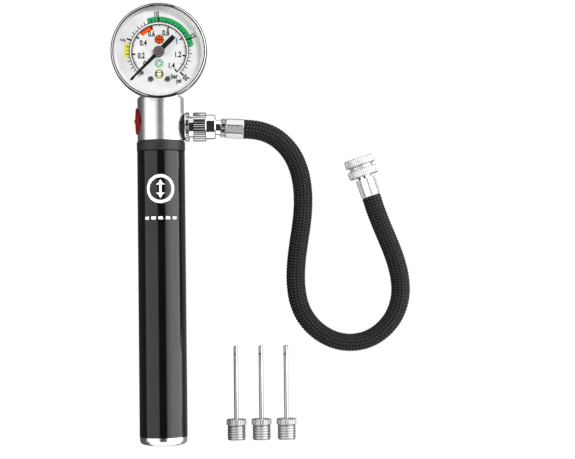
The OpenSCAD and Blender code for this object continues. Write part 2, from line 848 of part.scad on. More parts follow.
module stem_seal() {
    color("black") on_barrel(head_top) ring(6.2, stem_r, head_gap - case_r);
}

module tube_tip() {
    color("goldenrod") rotate(bourdon_start - 9) rotate_extrude(angle = 9)
        translate([bourdon_r - bourdon_half, bourdon_z]) square([2 * bourdon_half, bourdon_h + 1]);
}

// ---------- needles ----------

module on_needle(i) {
    translate([needle_first_x + (i - 1) * needle_pitch, needle_low, needle_head_r])
        rotate([-90, 0, 0]) children();
}

// Threaded base with a grooved head ring
module needle_base(i) {
    root_r = thread_r - 0.3;
    turns = floor((needle_thread_len - 0.6) / thread_pitch);
    color("gainsboro") on_needle(i) difference() {
        union() {
            turned([[0, 0], [root_r - 0.2, 0], [root_r, 0.4],
                for (k = [0 : turns - 1]) each [[root_r, 0.5 + k * thread_pitch],
                    [thread_r, 0.5 + (k + 0.42) * thread_pitch],
                    [thread_r, 0.5 + (k + 0.52) * thread_pitch],
                    [root_r, 0.5 + (k + 0.94) * thread_pitch]],
                [root_r, needle_thread_len], [0, needle_thread_len]]);
            translate([0, 0, needle_thread_len - 0.2])
                knurled(needle_head_r, needle_head_len + 0.2, 30, 0.15, 0.5);
        }
        translate([0, 0, -eps]) cylinder(r = 2.4, h = needle_root + eps);
        cylinder(r = needle_shank_r, h = 20);
    }
}

// Hollow tube with a closed round tip and a side hole near it
module needle_tube(i) {
    length = needle_len - needle_root;
    shank = needle_thread_len + needle_head_len - needle_root;
    bore = 0.45;
    color("silver") on_needle(i) translate([0, 0, needle_root]) difference() {
        turned([[0, 0], [needle_shank_r, 0], [needle_shank_r, shank], [needle_r, shank],
            [needle_r, length - 0.7], [needle_r - 0.15, length - 0.3],
            [needle_r - 0.45, length], [0, length]]);
        translate([0, 0, -eps]) cylinder(r = bore, h = length - 2);
        translate([0, 0, length - needle_hole_back]) rotate([0, 0, 60]) rotate([0, -90, 0])
            cylinder(r = needle_hole_r, h = 3);
    }
}

head_block();
collar();
inner_cylinder();
cylinder_gland();
gland_bumper();
valve_seat();
valve_disc();
valve_spring();
handle_tube();
handle_bush();
end_cap();
cap_seal();
piston_rod();
piston();
piston_seal();
piston_screw();
bleed_button();
bleed_pin();
bleed_guide();
bleed_seal();
bleed_spring();
port_gasket();
port_adapter();
hose_nut();
nut_washer();
hose_stem();
ferrule_near();
hose();
ferrule_far();
chuck_stem();
chuck_body();
chuck_seal();
gauge_case();
gauge_bezel();
lens_ring();
gauge_lens();
dial_plate();
dial_screws();
stop_pin();
pointer();
pointer_hub();
pinion_shaft();
sector_gear();
gauge_link();
hairspring();
back_plate();
front_plate();
movement_posts();
gauge_socket();
stem_seal();
bourdon_tube();
tube_tip();
needle_base(1);  // needle_base_1
needle_base(2);  // needle_base_2
needle_base(3);  // needle_base_3
needle_tube(1);  // needle_tube_1
needle_tube(2);  // needle_tube_2
needle_tube(3);  // needle_tube_3
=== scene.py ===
"""Ball inflation pump lying on its back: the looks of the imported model, its braided hose, the dial's
print, the camera, the lights and the floor. Lengths are in metres, and MM turns millimetres into them."""
import math

import bpy
from mathutils import Euler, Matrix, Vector


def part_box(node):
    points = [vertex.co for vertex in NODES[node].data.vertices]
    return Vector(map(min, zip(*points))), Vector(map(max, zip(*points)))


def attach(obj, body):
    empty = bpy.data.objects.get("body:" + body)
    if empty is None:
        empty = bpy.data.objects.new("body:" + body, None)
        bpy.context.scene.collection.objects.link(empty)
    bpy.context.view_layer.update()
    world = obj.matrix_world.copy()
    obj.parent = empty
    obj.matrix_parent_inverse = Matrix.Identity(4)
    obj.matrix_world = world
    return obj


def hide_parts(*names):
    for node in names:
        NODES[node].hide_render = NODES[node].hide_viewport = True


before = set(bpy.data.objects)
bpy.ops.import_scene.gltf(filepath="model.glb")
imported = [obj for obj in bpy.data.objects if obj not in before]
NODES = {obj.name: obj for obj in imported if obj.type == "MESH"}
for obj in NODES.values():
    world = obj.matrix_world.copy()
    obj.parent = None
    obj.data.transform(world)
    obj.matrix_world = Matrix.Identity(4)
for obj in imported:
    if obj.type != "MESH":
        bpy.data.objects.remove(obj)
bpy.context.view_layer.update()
MM = 0.001
UP = Vector((0, 0, 1))


# ---------- camera ----------

CAMERA_PLACE = (0.02965, -0.11959, 0.82025)
CAMERA_TURN = (2.503, -2.151, -0.728)
LENS_MM = 105.24


def make_camera():
    """Looks almost straight down on the pump; its turn is in degrees about X, Y and Z."""
    data = bpy.data.cameras.new("camera")
    data.sensor_fit = "HORIZONTAL"
    data.sensor_width = 36
    data.lens = LENS_MM
    data.clip_start = 0.05
    camera = bpy.data.objects.new("camera", data)
    camera.location = CAMERA_PLACE
    camera.rotation_euler = Euler([math.radians(a) for a in CAMERA_TURN])
    bpy.context.scene.collection.objects.link(camera)
    bpy.context.scene.camera = camera


# ---------- building pieces ----------

def piece(name, vertices, faces, body=None, material=None, smooth=False):
    """A new mesh object; it rides on the body, or is left to the stage."""
    mesh = bpy.data.meshes.new(name)
    mesh.from_pydata([tuple(v) for v in vertices], [], faces)
    if smooth:
        mesh.polygons.foreach_set("use_smooth", [True] * len(mesh.polygons))
    if material:
        mesh.materials.append(material)
    obj = bpy.data.objects.new(name, mesh)
    bpy.context.scene.collection.objects.link(obj)
    if body:
        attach(obj, body)
    return obj


# ---------- the fittings' axes ----------

ALONG_X = (1, 0, 0)
ALONG_Y = (0, 1, 0)
ALONG_Z = (0, 0, 1)
DIAL_CENTRE = (0, 0, 0)
BARREL_Z = 11.6 * MM

# The hose's stem leans away from the port's axis at this point, towards the cap
PORT = (20.6 * MM, -34.7 * MM, BARREL_Z)
STEM_LEAN = math.radians(3.5)
STEM_AXIS = (math.cos(STEM_LEAN), -math.sin(STEM_LEAN), 0)

CHUCK_TURN = math.radians(18)
CHUCK_AXIS = (-math.sin(CHUCK_TURN), math.cos(CHUCK_TURN), 0)

# The needles lie side by side along Y: in millimetres, the first one's X, their gap and their height
NEEDLE_X = 34.9
NEEDLE_GAP = 12.1
NEEDLE_Z = 4.8


def needle_axis(number):
    """A point on the axis of the first, second or third needle."""
    return ((NEEDLE_X + NEEDLE_GAP * (number - 1)) * MM, 0, NEEDLE_Z * MM)


# ---------- materials ----------

class Look:
    """A Principled material. Its textures use the model's own coordinates, in metres."""

    def __init__(self, name, colour, metallic=0.0, roughness=0.5, **sockets):
        self.material = bpy.data.materials.new(name)
        self.material.use_nodes = True
        self.tree = self.material.node_tree
        self.shader = self.tree.nodes["Principled BSDF"]
        self.shader.inputs["Base Color"].default_value = (*colour, 1)
        self.shader.inputs["Metallic"].default_value = metallic
        self.shader.inputs["Roughness"].default_value = roughness
        for socket, value in sockets.items():
            self.shader.inputs[socket.replace("_", " ")].default_value = value
        self.material.diffuse_color = (*colour, 1)
        self.normal = None

    def add(self, kind, **inputs):
        node = self.tree.nodes.new(kind)
        for socket, value in inputs.items():
            target = node.inputs[socket.replace("_", " ")]
            if isinstance(value, bpy.types.NodeSocket):
                self.tree.links.new(value, target)
            else:
                target.default_value = value
        return node

    def noise(self, scale, detail=2.0, stretch=(1, 1, 1)):
        """Noise with features about 1/scale metres across, drawn out along each axis by 1/stretch."""
        source = self.add("ShaderNodeTexCoord").outputs["Object"]
        place = self.add("ShaderNodeMapping", Vector=source, Scale=stretch).outputs["Vector"]
        return self.add("ShaderNodeTexNoise", Vector=place, Scale=scale, Detail=detail).outputs["Fac"]

    def vector(self, operation, first, second=None):
        """Vector maths on sockets or plain vectors."""
        node = self.add("ShaderNodeVectorMath")
        node.operation = operation
        for socket, value in zip(node.inputs, (first, second)):
            if isinstance(value, bpy.types.NodeSocket):
                self.tree.links.new(value, socket)
            elif value is not None:
                socket.default_value = value
        return node.outputs["Value" if operation == "LENGTH" else "Vector"]

    def radius(self, through, along):
        """Distance in metres from the axis that runs through that point."""
        place = self.add("ShaderNodeTexCoord").outputs["Object"]
        offset = self.vector("SUBTRACT", place, through)
        return self.vector("LENGTH", self.vector("CROSS_PRODUCT", offset, along))

    def spread(self, factor, low, high, start=0.3, end=0.7):
        """The factor's span from start to end, mapped to low and high."""
        node = self.add("ShaderNodeMapRange", Value=factor)
        node.inputs["From Min"].default_value = start
        node.inputs["From Max"].default_value = end
        node.inputs["To Min"].default_value = low
        node.inputs["To Max"].default_value = high
        return node.outputs["Result"]

    def colour_by(self, factor, low, high, start=0.3, end=0.7, between=()):
        """Base colour from low to high, with further (position, colour) stops between them."""
        ramp = self.add("ShaderNodeValToRGB", Fac=factor)
        ramp.color_ramp.elements[0].position = start
        ramp.color_ramp.elements[0].color = (*low, 1)
        ramp.color_ramp.elements[1].position = end
        ramp.color_ramp.elements[1].color = (*high, 1)
        self.tree.links.new(ramp.outputs["Color"], self.shader.inputs["Base Color"])
        for position, colour in between:
            ramp.color_ramp.elements.new(position).color = (*colour, 1)
        return self

    def roughness_by(self, factor, low, high):
        self.tree.links.new(self.spread(factor, low, high), self.shader.inputs["Roughness"])
        return self

    def relief(self, height, depth, strength=1.0):
        """Bump of that depth in metres; a later one lies on top of the earlier ones."""
        bump = self.add("ShaderNodeBump", Height=height, Strength=strength, Distance=depth)
        if self.normal:
            self.tree.links.new(self.normal, bump.inputs["Normal"])
        self.normal = bump.outputs["Normal"]
        self.tree.links.new(self.normal, self.shader.inputs["Normal"])
        return self


# Noise scale of the polishing marks on plated parts, about 0.2 mm apart
SCRATCHES = 5200


def shade(value, tint=(1, 1, 1)):
    """A grey of that value, or the tint times it."""
    return tuple(value * t for t in tint)


def lines_round(axis, thin):
    """Stretch for noise that runs in lines round that axis, or evenly all ways if it is None."""
    return [1 if axis in (None, other) else thin for other in "xyz"]


def plating(name, roughness, turned_along=None, depth=0.0012 * MM, grain=2600, value=0.86):
    """Chrome plate over metal that was turned round one axis, or polished all over."""
    look = Look(name, shade(value), metallic=1.0, roughness=roughness)
    look.colour_by(look.noise(90, 3), shade(0.95 * value), shade(1.04 * value))
    look.roughness_by(look.noise(grain, 4), 0.85 * roughness, 1.2 * roughness)
    look.relief(look.noise(SCRATCHES, 3, lines_round(turned_along, 0.04)), depth)
    return look.material


def banded(name, through, along, bands, roughness, metallic=1.0, tint=(1, 1, 1)):
    """Plated part turned about an axis: each band is a radius in millimetres and the value there."""
    (low, inside), (high, outside) = bands[0], bands[-1]
    look = Look(name, shade(outside, tint), metallic=metallic, roughness=roughness)
    share = look.spread(look.radius(through, along), 0, 1, low * MM, high * MM)
    between = [((radius - low) / (high - low), shade(value, tint)) for radius, value in bands[1:-1]]
    look.colour_by(share, shade(inside, tint), shade(outside, tint), 0, 1, between)
    look.roughness_by(look.noise(1800, 4), 0.85 * roughness, 1.25 * roughness)
    look.relief(look.noise(SCRATCHES, 3), 0.0006 * MM)
    return look.material


def enamel(name, colour, roughness, peel=0.0015 * MM, sheen=0.5):
    """Sprayed and baked paint, with a trace of orange peel and of dust."""
    look = Look(name, colour, roughness=roughness, Specular_IOR_Level=sheen)
    look.colour_by(look.noise(70, 3), shade(0.82, colour), shade(1.18, colour))
    look.roughness_by(look.noise(260, 4), 0.85 * roughness, 1.2 * roughness)
    look.relief(look.noise(1500, 2), peel)
    look.relief(look.noise(9000, 2), 0.0004 * MM)
    return look.material


def bare_metal(name, colour, roughness, turned_along="y"):
    """Turned metal with fine lines round one axis."""
    look = Look(name, colour, metallic=1.0, roughness=roughness)
    lines = look.noise(6000, 3, lines_round(turned_along, 0.03))
    look.colour_by(look.noise(160, 3), shade(0.85, colour), shade(1.1, colour))
    look.roughness_by(lines, 0.8 * roughness, 1.25 * roughness)
    look.relief(lines, 0.002 * MM)
    return look.material


def plastic(name, colour, roughness, grain=0.004 * MM):
    """Moulded plastic; the grain is the depth of the mould's texture."""
    look = Look(name, colour, roughness=roughness)
    look.colour_by(look.noise(120, 3), shade(0.92, colour), shade(1.04, colour))
    look.roughness_by(look.noise(700, 3), 0.85 * roughness, 1.15 * roughness)
    look.relief(look.noise(2600, 3), grain)
    return look.material


def rubber(name):
    look = Look(name, shade(0.008), roughness=0.62, Specular_IOR_Level=0.15)
    look.colour_by(look.noise(300, 4), shade(0.005), shade(0.012))
    look.roughness_by(look.noise(900, 3), 0.52, 0.74)
    look.relief(look.noise(3500, 3), 0.006 * MM)
    return look.material


def clear_lens():
    look = Look("clear_lens", (0.10, 0.11, 0.11), roughness=0.03, Alpha=0.03)
    look.roughness_by(look.noise(200, 2), 0.02, 0.05)
    look.relief(look.noise(40, 1), 0.0006 * MM)
    return look.material


def print_ink(name, colour, roughness=0.45):
    look = Look(name, colour, roughness=roughness, Specular_IOR_Level=0.03)
    look.colour_by(look.noise(1300, 3), shade(0.9, colour), shade(1.06, colour))
    look.roughness_by(look.noise(900, 2), 0.85 * roughness, 1.15 * roughness)
    look.relief(look.noise(5000, 2), 0.001 * MM)
    return look.material


def braid(name):
    """Nylon yarn: the map named Thread runs along each stitch, and the one named Height is its crown. The
    yarn is painted near black at the stitches' feet and lighter on their crowns: painted shade and a
    painted sheen.
    """
    look = Look(name, shade(0.012), roughness=0.33, Specular_IOR_Level=0.14)
    crown = look.add("ShaderNodeAttribute")
    crown.attribute_name = "Height"
    # Painted shade in the creases between stitches and a painted sheen on their crowns, set by the Height
    # map.
    look.colour_by(crown.outputs["Fac"], shade(0.001), shade(0.034), 0.5, 0.95)
    thread = look.add("ShaderNodeUVMap")
    thread.uv_map = "Thread"
    fibres = look.add("ShaderNodeTexNoise", Scale=1.0, Detail=2.0,
                      Vector=look.add("ShaderNodeMapping", Vector=thread.outputs["UV"],
                                      Scale=(16, 2.5, 1)).outputs["Vector"]).outputs["Fac"]
    look.roughness_by(fibres, 0.34, 0.55)
    look.relief(fibres, 0.03 * MM)
    return look.material


# Bands of the turned and plated parts, outwards: each is a radius in millimetres and the value there.
# Where a part is knurled, its grooves are painted near black and its lands bright: painted shade in the
# grooves.
NUT_BANDS = ((6.8, 0.86), (6.945, 0.02), (6.965, 0.45), (7.07, 0.45))
# The stem's knurl grooves are painted near black like the nut's: painted shade in the grooves.
STEM_BANDS = ((4.2, 0.86), (4.345, 0.02), (4.365, 0.42), (4.47, 0.42))
CRIMP_BANDS = ((4.6, 0.56), (4.86, 0.56), (4.90, 0.16), (5.0, 0.16))
FAR_CRIMP_BANDS = ((4.4, 0.74), (4.66, 0.74), (4.70, 0.16), (4.8, 0.16))
# The chuck's groove at 5.6 mm and its knurl grooves at 7.12 to 7.18 mm are painted darker than its lands:
# painted shade in the grooves.
CHUCK_BANDS = ((5.6, 0.30), (5.8, 0.60), (7.0, 0.60), (7.12, 0.13), (7.18, 0.13), (7.24, 0.66))
# The needle bases are painted darker at the thread's roots, 4.66 mm, than on its crests: painted shade in
# the roots. They also darken towards 4.1 mm.
NEEDLE_BANDS = ((4.1, 0.2), (4.36, 0.48), (4.5, 0.48), (4.66, 0.18), (4.78, 0.48))
BEZEL_BANDS = ((21.84, 0.012), (21.92, 0.86), (22.15, 0.86), (22.28, 0.012), (22.62, 0.012),
               (22.72, 0.70))
HUB_BANDS = ((0.6, 0.14), (1.9, 0.05), (2.05, 0.22), (2.25, 0.22), (2.4, 0.01))
STEEL = shade(0.72, (1, 1, 1.01))
BRASS = (0.80, 0.60, 0.28)


def make_materials():
    return {
        "head": plating("head_satin_chrome", 0.30, None, 0.002 * MM),
        "cap": plating("cap_chrome", 0.19, "y"),
        "crimp": banded("crimp_chrome", PORT, STEM_AXIS, CRIMP_BANDS, 0.36, 0.85),
        "chrome": plating("turned_chrome", 0.10, None),
        "nut": banded("nut_chrome", PORT, ALONG_X, NUT_BANDS, 0.10),
        "stem": banded("stem_chrome", PORT, STEM_AXIS, STEM_BANDS, 0.10),
        "chuck": banded("chuck_chrome", HOSE_ROUTE[-1], CHUCK_AXIS, CHUCK_BANDS, 0.25, 0.35),
        "far_crimp": banded("far_crimp_chrome", HOSE_ROUTE[-1], CHUCK_AXIS, FAR_CRIMP_BANDS, 0.30, 0.35),
        "bezel": banded("bezel_chrome", DIAL_CENTRE, ALONG_Z, BEZEL_BANDS, 0.10),
        **{f"needle_{i}": banded(f"needle_plate_{i}", needle_axis(i), ALONG_Y, NEEDLE_BANDS, 0.25, 0.7)
           for i in (1, 2, 3)},
        "handle": enamel("handle_enamel", shade(0.003), 0.10),
        "collar": enamel("collar_enamel", shade(0.011), 0.42, 0.004 * MM, 0.4),
        "case": plating("case_satin_chrome", 0.3, "z", 0.002 * MM, 2600, 0.42),
        "alloy": bare_metal("cylinder_alloy", shade(0.80), 0.16),
        "steel": bare_metal("bright_steel", STEEL, 0.18),
        "tube": bare_metal("needle_steel", shade(0.5), 0.05),
        "brass": bare_metal("brass", BRASS, 0.25, "z"),
        "rubber": rubber("black_rubber"),
        "white": plastic("white_acetal", shade(0.84), 0.45),
        "dark": plastic("dark_nylon", shade(0.05), 0.5),
        "dial": enamel("dial_enamel", shade(0.60), 0.4, 0.002 * MM, 0.1),
        "ring": plastic("lens_ring_white", shade(0.60), 0.35, 0.001 * MM),
        "lens": clear_lens(),
        "red": enamel("red_anodised", (0.15, 0.005, 0.006), 0.35, 0.004 * MM, 0.12),
        "screw": bare_metal("blackened_steel", (0.30, 0.25, 0.25), 0.35, "z"),
        "pointer": enamel("pointer_black", shade(0.004), 0.6, 0.002 * MM, 0.02),
        "hub": banded("hub_bronze", DIAL_CENTRE, ALONG_Z, HUB_BANDS, 0.45, 0.6, (1.1, 0.9, 0.85)),
    }


# Which CAD nodes wear which of the materials above
WEARS = {
    "head": "head_block",
    "nut": "port_adapter hose_nut",
    "stem": "hose_stem",
    "crimp": "ferrule_near",
    "far_crimp": "ferrule_far",
    "chuck": "chuck_body",
    "chrome": "chuck_stem",
    "cap": "end_cap",
    "needle_1": "needle_base_1",
    "needle_2": "needle_base_2",
    "needle_3": "needle_base_3",
    "bezel": "gauge_bezel",
    "handle": "handle_tube",
    "collar": "collar",
    "case": "gauge_case",
    "alloy": "inner_cylinder",
    "steel": "piston_rod piston_screw valve_spring bleed_spring",
    "tube": "needle_tube_1 needle_tube_2 needle_tube_3",
    "brass": "valve_seat bleed_pin bleed_guide pinion_shaft sector_gear gauge_link gauge_socket "
             "back_plate front_plate movement_posts bourdon_tube tube_tip hairspring",
    "rubber": "port_gasket cap_seal piston_seal gland_bumper bleed_seal nut_washer chuck_seal "
              "stem_seal valve_disc hose",
    "white": "handle_bush piston",
    "dark": "cylinder_gland",
    "dial": "dial_plate",
    "ring": "lens_ring",
    "lens": "gauge_lens",
    "red": "bleed_button",
    "screw": "dial_screws stop_pin",
    "pointer": "pointer",
    "hub": "pointer_hub",
}


def dress(materials):
    for look, names in WEARS.items():
        for name in names.split():
            mesh = NODES[name].data
            mesh.materials.clear()
            mesh.materials.append(materials[look])


# ---------- hose ----------

HOSE_R = 4.6 * MM
HOSE_ROUTE = [
    (0.03996, -0.03588, 0.0116), (0.0474, -0.0367, 0.0108), (0.054, -0.0391, 0.0096),
    (0.0594, -0.0432, 0.0079), (0.0636, -0.0485, 0.0062), (0.0665, -0.0551, 0.0051),
    (0.068, -0.062, 0.0047), (0.0685, -0.0692, 0.0046), (0.0682, -0.0763, 0.0046),
    (0.0673, -0.0836, 0.0046), (0.0661, -0.0909, 0.0046), (0.0651, -0.098, 0.0046),
    (0.0645, -0.105, 0.0046), (0.0646, -0.1121, 0.0046), (0.0657, -0.1192, 0.0046),
    (0.0683, -0.1258, 0.0046), (0.0727, -0.1316, 0.0046), (0.0784, -0.136, 0.0046),
    (0.0849, -0.1387, 0.0046), (0.0919, -0.1394, 0.0046), (0.0989, -0.138, 0.0046),
    (0.1052, -0.1345, 0.0046), (0.1103, -0.1293, 0.0046), (0.1137, -0.123, 0.0046),
    (0.1153, -0.116, 0.0046), (0.1151, -0.1089, 0.0048), (0.1137, -0.102, 0.0051),
    (0.1115, -0.0952, 0.0056), (0.1088, -0.0885, 0.0062), (0.1061, -0.082, 0.0068),
    (0.1036, -0.0754, 0.0072), (0.1015, -0.0688, 0.0074)]

# The braid: columns of stitches round the hose, a stitch's length, and the mesh points in each stitch
COLUMNS = 16
ROW = 1.42 * MM
PER_COLUMN = 8
PER_ROW = 6

# How far a stitch slants across its column, in stitches; then, in millimetres, how high the yarn
# stands and how far its foot lies inside the hose's radius
SLANT = 0.75
YARN_HEIGHT = 0.42
YARN_SINK = 0.34

# Keeps a point that lies on the line between two columns in the later one
NUDGE = 1e-6


def smooth_line(points, first, last, step):
    """Even points along a smooth curve through the given ones, with set directions at its ends."""
    samples = 24
    points = [Vector(p) for p in points]
    inner = [(b - a) / 2 for a, b in zip(points, points[2:])]
    slopes = [first * (points[1] - points[0]).length, *inner, last * (points[-1] - points[-2]).length]
    fine = []
    for i in range(len(points) - 1):
        for k in range(samples):
            t = k / samples
            fine.append((2 * t**3 - 3 * t**2 + 1) * points[i] + (t**3 - 2 * t**2 + t) * slopes[i]
                        + (3 * t**2 - 2 * t**3) * points[i + 1] + (t**3 - t**2) * slopes[i + 1])
    fine.append(points[-1])
    walked = [0.0]
    for a, b in zip(fine, fine[1:]):
        walked.append(walked[-1] + (b - a).length)
    count = round(walked[-1] / step)
    line = []
    at = 0
    for i in range(count + 1):
        goal = walked[-1] * i / count
        while at < len(fine) - 2 and walked[at + 1] < goal:
            at += 1
        share = (goal - walked[at]) / (walked[at + 1] - walked[at])
        line.append(fine[at].lerp(fine[at + 1], share))
    return line


def stitch(column, row):
    """Height from 0 to 1 of the herringbone at that column and row, both counted in stitches."""
    whole = math.floor(column)
    across = column - whole - 0.5
    slant = SLANT if whole % 2 else -SLANT
    crown = 0.5 + 0.5 * math.cos(2 * math.pi * (row + slant * across))
    side = max(0.0, 1 - (2 * across) ** 4)
    return side * crown**0.7


def flatness(share):
    """The tube ovals a little where it bends most, as a factor on its width in the bend's plane."""
    bend_at, bend_reach, squeeze = 0.60, 0.13, 0.075
    return 1 - squeeze * math.exp(-((share - bend_at) / bend_reach) ** 2)


def make_hose(material):
    """The whole hose as one closed tube with every stitch of its braid in the mesh."""
    line = smooth_line(HOSE_ROUTE, Vector(STEM_AXIS), Vector(CHUCK_AXIS), ROW / PER_ROW)
    around = COLUMNS * PER_COLUMN
    vertices = []
    heights = []
    for i, point in enumerate(line):
        ahead = line[min(i + 1, len(line) - 1)] - line[max(i - 1, 0)]
        side = UP.cross(ahead).normalized()
        top = ahead.cross(side).normalized()
        wide = flatness(i / (len(line) - 1))
        for k in range(around):
            crown = stitch(k / PER_COLUMN + NUDGE, i / PER_ROW)
            reach = HOSE_R + (YARN_HEIGHT * crown - YARN_SINK) * MM
            angle = 2 * math.pi * k / around
            vertices.append(point + reach * (wide * math.cos(angle) * side + math.sin(angle) * top))
            heights.append(crown)
    faces = []
    for i in range(len(line) - 1):
        for k in range(around):
            a = i * around + k
            b = i * around + (k + 1) % around
            faces.append((a, b, b + around, a + around))
    faces.append(tuple(reversed(range(around))))
    faces.append(tuple(range((len(line) - 1) * around, len(line) * around)))
    hose = piece("braided_hose", vertices, faces, "pump_head", material, smooth=True)
    crowns = hose.data.attributes.new("Height", "FLOAT", "POINT")
    crowns.data.foreach_set("value", heights)
    thread = hose.data.uv_layers.new(name="Thread")
    coordinates = []
    for face in hose.data.polygons[:-2]:
        a = face.vertices[0]
        row = (a // around) / PER_ROW
        column = (a % around) / PER_COLUMN
        slant = SLANT if math.floor(column) % 2 else -SLANT
        for dc, dr in ((0, 0), (1, 0), (1, 1), (0, 1)):
            across = column + dc / PER_COLUMN
            along = row + dr / PER_ROW
            coordinates += [along + slant * (across - math.floor(column) - 0.5), across]
    coordinates += [0.0] * (2 * len(thread.data) - len(coordinates))
    thread.data.foreach_set("uv", coordinates)
    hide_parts("hose")


# ---------- dial ----------

DIAL_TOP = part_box("dial_plate")[1].z

# Angles in degrees, anticlockwise from +X: where both scales start, their sweep, and one unit of each
DIAL_ZERO = 225
DIAL_SWEEP = 270
PSI = 13.5
BAR = PSI * 14.5038

# How high each layer of ink lies over the dial's face
INK = {"band": 0.02 * MM, "line": 0.035 * MM, "mark": 0.05 * MM}

INK_COLOURS = {
    "black": shade(0.004),
    "green": (0.012, 0.27, 0.08),
    "orange": (0.60, 0.07, 0.006),
    "yellow": (0.62, 0.60, 0.07),
    "grey": shade(0.10),
    "white": shade(0.85),
    "seam": (0.10, 0.01, 0.005),
}

# Coloured bands: inner and outer radius in millimetres, and the angles where each starts and ends
COLOUR_BANDS = {
    "green": (14.1, 16.7, 10, 110),
    "yellow": (14.1, 16.6, 164, 190),
    "orange": (10.5, 12.95, 104, 136),
}

# The free end's radius in millimetres and the width of a long, a middle and a short tick
PSI_TICKS = ((16.4, 0.8), (15.7, 0.42), (15.2, 0.32))
BAR_TICKS = ((11.2, 0.8), (11.9, 0.42), (12.1, 0.3))
PSI_FOOT = 14.0
BAR_FOOT = 13.1
PSI_FIGURES_R = 17.9

# Height of the font's figures at size 1, and how far their outlines are widened
FIGURE_HEIGHT = 0.70
BOLDER = 0.035


class Sheet:
    """Flat printed shapes on the dial, gathered into one mesh for each ink."""

    def __init__(self, height):
        self.height = height
        self.vertices = []
        self.faces = []

    def outline(self, points):
        first = len(self.vertices)
        self.vertices += [(x * MM, y * MM, self.height) for x, y in points]
        self.faces.append(tuple(range(first, len(self.vertices))))

    def band(self, inner, outer, start, end, centre=(0, 0)):
        """Part of a ring, in millimetres, from the start angle anticlockwise to the end angle."""
        steps = max(1, round(abs(end - start) / 3))
        angles = [math.radians(start + (end - start) * i / steps) for i in range(steps + 1)]
        for a, b in zip(angles, angles[1:]):
            self.outline([(centre[0] + r * math.cos(t), centre[1] + r * math.sin(t))
                          for r, t in ((inner, a), (outer, a), (outer, b), (inner, b))])

    def disc(self, centre, radius):
        sides = 40
        self.outline([(centre[0] + radius * math.cos(t), centre[1] + radius * math.sin(t))
                      for t in (math.tau * i / sides for i in range(sides))])

    def tick(self, angle, inner, outer, width):
        along = Vector((math.cos(math.radians(angle)), math.sin(math.radians(angle))))
        across = Vector((-along.y, along.x)) * width / 2
        self.outline([along * inner - across, along * outer - across, along * outer + across,
                      along * inner + across])

    def bar(self, centre, width, height):
        x, y = centre
        self.outline([(x - width / 2, y - height / 2), (x + width / 2, y - height / 2),
                      (x + width / 2, y + height / 2), (x - width / 2, y + height / 2)])

    def write(self, text, centre, height, turn=0.0, narrow=0.74):
        """Plain letters or figures of that height, in millimetres, centred and turned in degrees.

        Letters that hang below the line are centred by their own outline."""
        data = bpy.data.curves.new(text, "FONT")
        data.body = text
        data.size = 1
        data.resolution_u = 3
        data.offset = BOLDER
        holder = bpy.data.objects.new(text, data)
        bpy.context.scene.collection.objects.link(holder)
        mesh = bpy.data.meshes.new_from_object(holder.evaluated_get(
            bpy.context.evaluated_depsgraph_get()))
        xs = [v.co.x for v in mesh.vertices]
        ys = [v.co.y for v in mesh.vertices]
        scale = height / FIGURE_HEIGHT
        turn = math.radians(turn)
        first = len(self.vertices)
        hangs = text == "psi"
        middle = (min(ys) + max(ys)) / 2 if hangs else FIGURE_HEIGHT / 2
        for v in mesh.vertices:
            x = (v.co.x - (min(xs) + max(xs)) / 2) * scale * narrow
            y = (v.co.y - middle) * scale
            self.vertices.append(((centre[0] + x * math.cos(turn) - y * math.sin(turn)) * MM,
                                  (centre[1] + x * math.sin(turn) + y * math.cos(turn)) * MM,
                                  self.height))
        self.faces += [tuple(first + i for i in face.vertices) for face in mesh.polygons]
        bpy.data.meshes.remove(mesh)
        bpy.data.objects.remove(holder)
        bpy.data.curves.remove(data)

    def make(self, name, material):
        obj = piece(name, self.vertices, self.faces, "pump_head", material)
        return obj


def tick_size(number, sizes, long_every, middle_every):
    """The free end's radius and the width of the tick with that number."""
    if number % long_every == 0:
        return sizes[0]
    return sizes[1] if number % middle_every == 0 else sizes[2]


def make_scales():
    """Pressure scales: pounds per square inch outside, bar inside, from the same zero."""
    sheet = Sheet(DIAL_TOP + INK["mark"])
    for half in range(41):
        outer, width = tick_size(half, PSI_TICKS, 10, 2)
        sheet.tick(DIAL_ZERO - PSI * half / 2, PSI_FOOT, outer, width)
    for step in range(71):
        inner, width = tick_size(step, BAR_TICKS, 10, 5)
        sheet.tick(DIAL_ZERO - BAR * step / 50, inner, BAR_FOOT, width)
    last = DIAL_ZERO - DIAL_SWEEP
    sheet.band(12.7, 13.15, last - 4, DIAL_ZERO)
    sheet.band(13.9, 14.25, last, DIAL_ZERO)
    return sheet


def write_figures(sheet):
    inner = [("0", -6.8, -5.7), ("0.2", -8.4, -1.9), ("0.4", -7.4, 4.2), ("0.6", -3.5, 8.5),
             ("0.8", 3.3, 8.9), ("1", 8.5, 4.9), ("1.2", 9.1, -1.4), ("1.4", 6.0, -6.7)]
    for text, x, y in inner:
        sheet.write(text, (x, y), 2.6)
    for text, angle in (("0", 225), ("5", 162), ("10", 93), ("15", 24), ("20", -45)):
        place = (PSI_FIGURES_R * math.cos(math.radians(angle)),
                 PSI_FIGURES_R * math.sin(math.radians(angle)))
        sheet.write(text, place, 2.4, angle - 90, 0.75)
    sheet.write("bar", (7.3, -11.8), 2.1, 0, 0.8)
    sheet.write("psi", (9.3, -14.3), 2.1, 0, 0.75)


